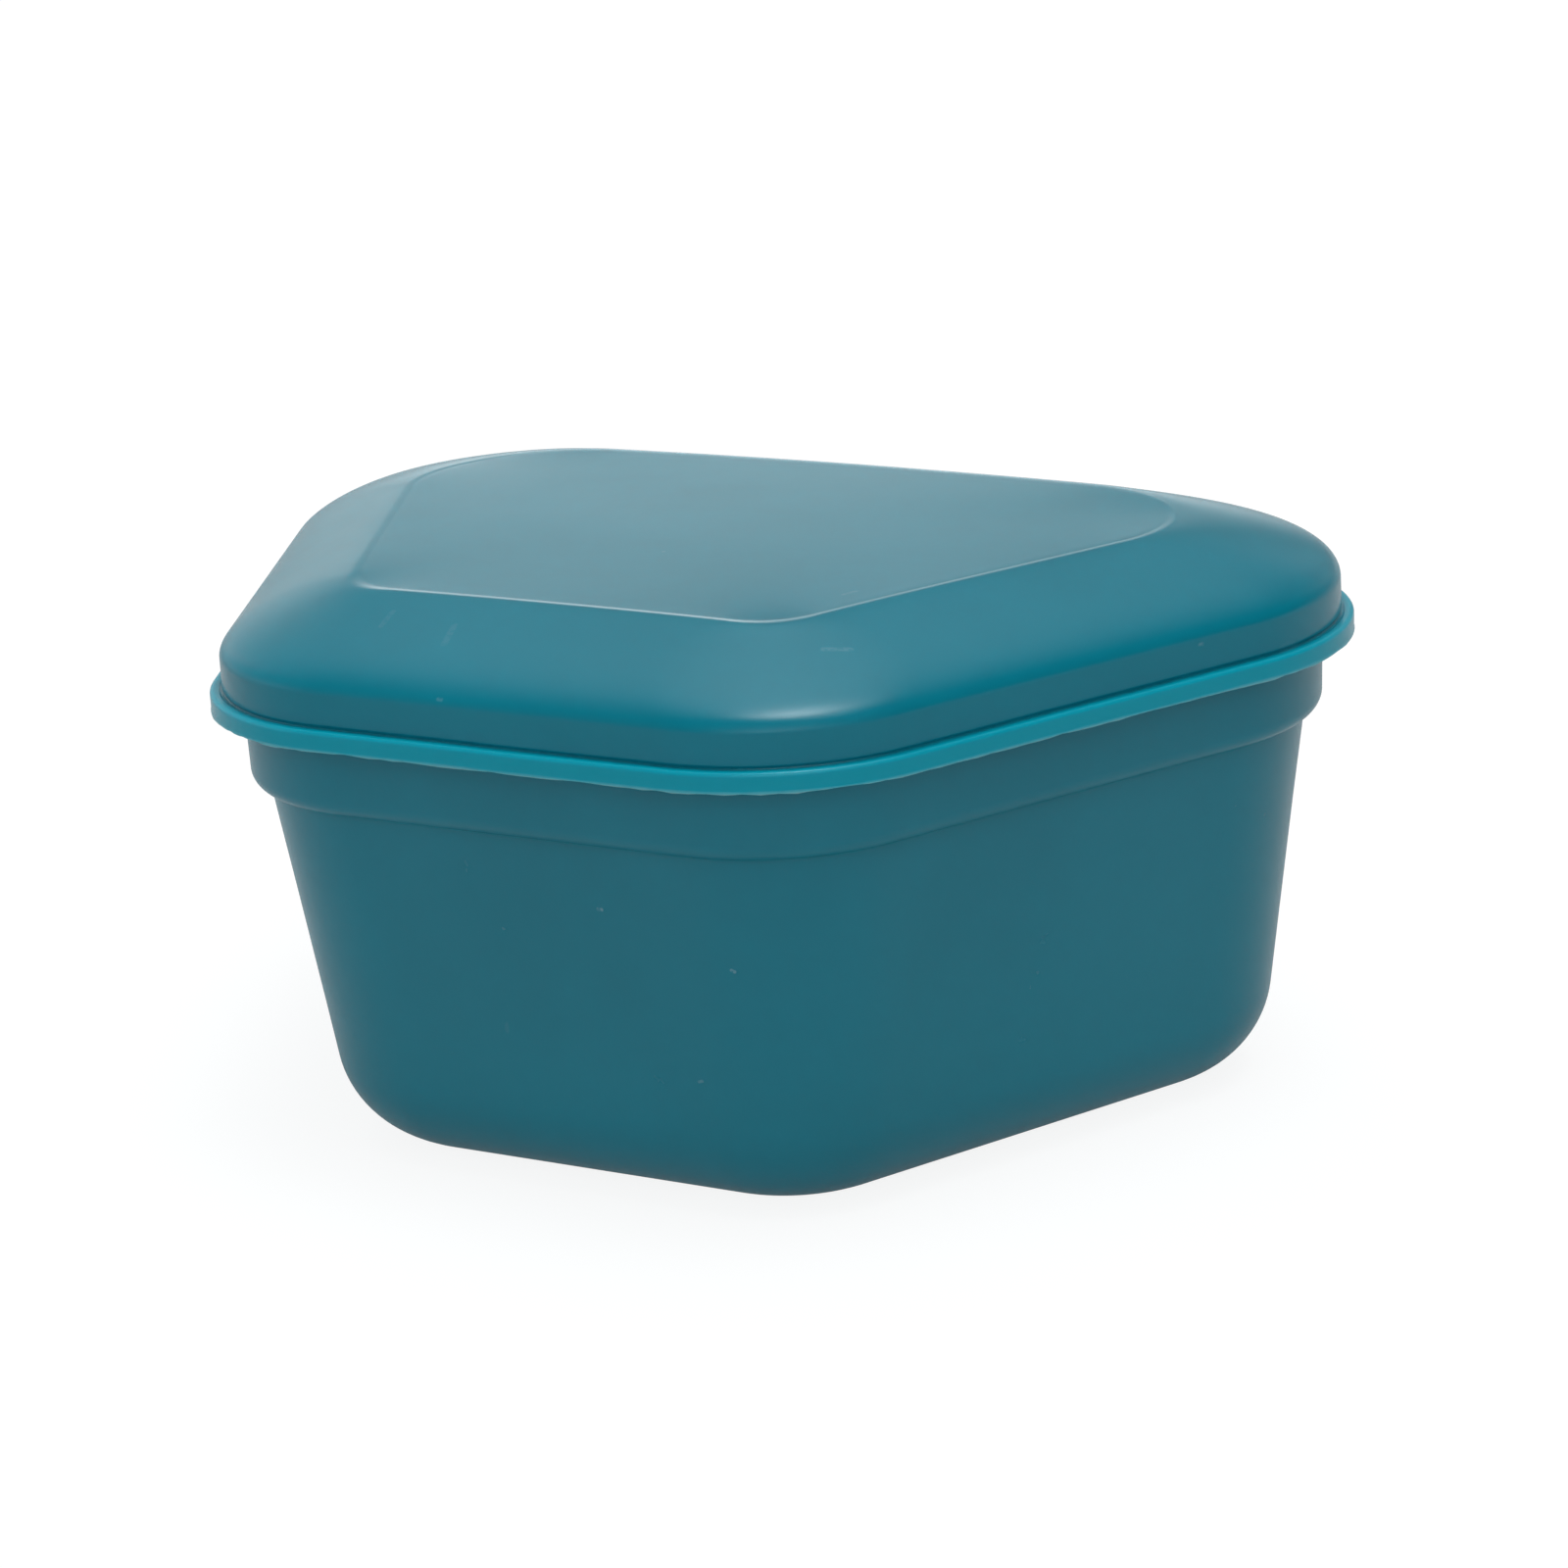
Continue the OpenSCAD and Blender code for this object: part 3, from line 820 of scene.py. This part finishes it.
    # Relief: a fine moulded skin over slow sink marks
    b1 = N("ShaderNodeBump")
    b1.inputs["Strength"].default_value = 0.03
    b1.inputs["Distance"].default_value = 0.00025
    L(tex(95.0, 2.0, 0.4), b1.inputs["Height"])
    b2 = N("ShaderNodeBump")
    b2.inputs["Strength"].default_value = 0.05
    b2.inputs["Distance"].default_value = 0.00002
    L(tex(4200.0, 2.0, 0.6), b2.inputs["Height"])
    L(b1.outputs[0], b2.inputs["Normal"])
    b3 = N("ShaderNodeBump")
    b3.inputs["Strength"].default_value = 0.35
    b3.inputs["Distance"].default_value = 0.00003
    b3.invert = True
    L(mark, b3.inputs["Height"])
    L(b2.outputs[0], b3.inputs["Normal"])
    L(b3.outputs[0], bsdf.inputs["Normal"])
    return m


LID_NICKS = (((-12.5, -28.0, 45.1), (-12.6, -26.2, 45.8), 0.36, 0.05),
             ((-6.0, -29.3, 44.6), (-6.4, -27.2, 45.4), 0.40, 0.065),
             ((-3.9, -33.8, 41.7), (-3.6, -33.8, 41.7), 0.22, 0.16),
             ((23.2, -23.4, 45.2), (24.8, -22.2, 44.9), 0.34, 0.13),
             ((19.8, -14.0, 46.7), (20.3, -12.8, 46.7), 0.30, 0.10),
             ((42.2, 0.9, 40.7), (42.3, 1.2, 40.7), 0.20, 0.20))
TUB_NICKS = (((6.5, -30.1, 25.3), (6.8, -30.1, 25.3), 0.22, 0.34),
             ((17.3, -29.3, 21.5), (17.5, -29.2, 21.4), 0.20, 0.30),
             ((13.2, -28.2, 11.8), (13.5, -28.2, 11.9), 0.20, 0.28))

lid = make_lid()
tub = make_tub()
basket = make_basket()

TEAL = (0.0015, 0.2075, 0.283)
# Painted glow colour of the free lip: brighter, more saturated teal for light that comes through it
PAINTED_LIP_GLOW = (0.001, 0.318, 0.415)
mat_lid = plastic("lid_polypropylene", TEAL, tuple(0.93 * c for c in TEAL), (0.16, 0.36, 0.42), PAINTED_LIP_GLOW, 0.19, 1.3,
                  nicks=LID_NICKS)
mat_tub = plastic("tub_polypropylene", TEAL, tuple(0.92 * c for c in TEAL), (0.16, 0.36, 0.42), PAINTED_LIP_GLOW, 0.24, 5.1,
                  nicks=TUB_NICKS)
mat_basket = plastic("basket_polypropylene", (0.050, 0.300, 0.350), (0.044, 0.270, 0.320), (0.4, 0.6, 0.6), PAINTED_LIP_GLOW,
                     0.33, 9.4)

for ob, mat, body, node_, slot_ in ((lid, mat_lid, "lid", "lid", "lid_plastic"),
                                    (tub, mat_tub, "base", "base", "tub_plastic"),
                                    (basket, mat_basket, "strainer", "strainer", "basket_plastic")):
    ob.data.materials.clear()
    ob.data.materials.append(mat)
    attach(ob, body)
    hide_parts(node_)

# ----------------------------------------------------------------------------
# Stage: pale floor, soft light, camera
# ----------------------------------------------------------------------------
VIEW_AZ = math.radians(29.257)
fl = bpy.data.meshes.new("floor")
fl.from_pydata([(-30, -30, 0), (30, -30, 0), (30, 30, 0), (-30, 30, 0)], [], [(0, 1, 2, 3)])
floor = bpy.data.objects.new("floor", fl)
scene.collection.objects.link(floor)
fm = bpy.data.materials.new("floor_paper")
fm.use_nodes = True
ft = fm.node_tree
ft.nodes.clear()
f_out = ft.nodes.new("ShaderNodeOutputMaterial")
f_add = ft.nodes.new("ShaderNodeAddShader")
f_dif = ft.nodes.new("ShaderNodeBsdfDiffuse")
f_glow = ft.nodes.new("ShaderNodeEmission")
f_path = ft.nodes.new("ShaderNodeLightPath")
f_col = ft.nodes.new("ShaderNodeMapRange")
f_lit = ft.nodes.new("ShaderNodeMath")
# White paper as seen; as a bounce card under the plastic it gives back less light, and
# a little more behind the case than before it
FLOOR_SEEN, FLOOR_BOUNCE, FLOOR_GLOW = 0.16, 0.38, 0.88
FRONT_GLOW, BACK_GLOW = 0.130, 0.202
f_col.inputs["To Min"].default_value = FLOOR_BOUNCE
f_col.inputs["To Max"].default_value = FLOOR_SEEN
ft.links.new(f_path.outputs["Is Camera Ray"], f_col.inputs["Value"])
ft.links.new(f_col.outputs[0], f_dif.inputs["Color"])
f_tc = ft.nodes.new("ShaderNodeTexCoord")
f_far = ft.nodes.new("ShaderNodeVectorMath")
f_far.operation = "DOT_PRODUCT"
f_far.inputs[1].default_value = (-math.sin(VIEW_AZ), math.cos(VIEW_AZ), 0)
f_half = ft.nodes.new("ShaderNodeMapRange")
f_half.interpolation_type = "SMOOTHSTEP"
f_half.inputs["From Min"].default_value = -0.03
f_half.inputs["From Max"].default_value = 0.045
f_half.inputs["To Min"].default_value = FRONT_GLOW
f_half.inputs["To Max"].default_value = BACK_GLOW
ft.links.new(f_tc.outputs["Object"], f_far.inputs[0])
ft.links.new(f_far.outputs["Value"], f_half.inputs["Value"])
# strength = half + camera ray * (glow - half)
f_more = ft.nodes.new("ShaderNodeMath")
f_more.operation = "SUBTRACT"
f_more.inputs[0].default_value = FLOOR_GLOW
ft.links.new(f_half.outputs[0], f_more.inputs[1])
f_lit.operation = "MULTIPLY_ADD"
ft.links.new(f_path.outputs["Is Camera Ray"], f_lit.inputs[0])
ft.links.new(f_more.outputs[0], f_lit.inputs[1])
ft.links.new(f_half.outputs[0], f_lit.inputs[2])
ft.links.new(f_lit.outputs[0], f_glow.inputs["Strength"])
ft.links.new(f_dif.outputs[0], f_add.inputs[0])
ft.links.new(f_glow.outputs[0], f_add.inputs[1])
ft.links.new(f_add.outputs[0], f_out.inputs[0])
fl.materials.append(fm)

# Soft lights all round, each (angle from the viewer's side, towards the right; elevation;
# tightness; strength)
LIGHTS = [
    (0, 6, 9, 0.589), (135, 6, 9, 0.4), (180, 6, 9, 0.1), (-135, 6, 9, 0.963),
    (-90, 6, 9, 1.082), (0, 26, 9, 1.484), (45, 26, 9, 0.315), (60, 68, 9, 0.153),
    (180, 68, 9, 1.207), (0, 90, 9, 0.301), (180, 2, 60, 1.45), (197, 8, 60, 0.1),
    (197, 16, 60, 0.204), (153, 26, 60, 0.238), (90, 85, 60, 1.727), (90, 72, 60, 1.012),
    (28, 79, 60, 6.6), (61, 69, 60, 0.091), (42, 63, 60, 2.384),
]
TENT = 0.0


def light_dir(angle, elevation):
    a, e = math.radians(angle), math.radians(elevation)
    h = Vector((math.sin(VIEW_AZ), -math.cos(VIEW_AZ), 0)) * math.cos(a) + Vector(
        (math.cos(VIEW_AZ), math.sin(VIEW_AZ), 0)) * math.sin(a)
    return h * math.cos(e) + Vector((0, 0, 1)) * math.sin(e)


def light_world(lights, tent):
    world = bpy.data.worlds.new("soft_lights")
    scene.world = world
    world.use_nodes = True
    wn = world.node_tree
    bg = wn.nodes["Background"]
    bg.inputs[0].default_value = (0.91, 1.0, 1.02, 1)
    tc = wn.nodes.new("ShaderNodeTexCoord")
    total = None
    for angle, elevation, tight, strength in lights:
        dot = wn.nodes.new("ShaderNodeVectorMath")
        dot.operation = "DOT_PRODUCT"
        dot.inputs[1].default_value = light_dir(angle, elevation)
        wn.links.new(tc.outputs["Generated"], dot.inputs[0])
        # strength * exp(tight * (dot - 1))
        lin = wn.nodes.new("ShaderNodeMath")
        lin.operation = "MULTIPLY_ADD"
        lin.inputs[1].default_value = tight
        lin.inputs[2].default_value = -tight + math.log(strength)
        wn.links.new(dot.outputs["Value"], lin.inputs[0])
        ex = wn.nodes.new("ShaderNodeMath")
        ex.operation = "EXPONENT"
        wn.links.new(lin.outputs[0], ex.inputs[0])
        add = wn.nodes.new("ShaderNodeMath")
        add.operation = "ADD"
        wn.links.new(ex.outputs[0], add.inputs[0])
        if total is None:
            add.inputs[1].default_value = tent
        else:
            wn.links.new(total, add.inputs[1])
        total = add.outputs[0]
    wn.links.new(total, bg.inputs["Strength"])


light_world(LIGHTS, TENT)

cam_data = bpy.data.cameras.new("camera")
cam = bpy.data.objects.new("camera", cam_data)
scene.collection.objects.link(cam)
right = Vector((0.87843, 0.47527, -0.04978)).normalized()
up = Vector((-0.0927, 0.27167, 0.95792)).normalized()
back = right.cross(up).normalized()
up = back.cross(right).normalized()
cam.matrix_world = Matrix(((right.x, up.x, back.x, 0.185838), (right.y, up.y, back.y, -0.31015),
                           (right.z, up.z, back.z, 0.13451), (0, 0, 0, 1)))
cam_data.sensor_width = 36
cam_data.lens = 107.387
cam_data.shift_x, cam_data.shift_y = -0.04358, -0.02173
cam_data.clip_start, cam_data.clip_end = 0.01, 50
scene.camera = cam
scene.view_settings.view_transform = "Standard"
scene.view_settings.look = "None"
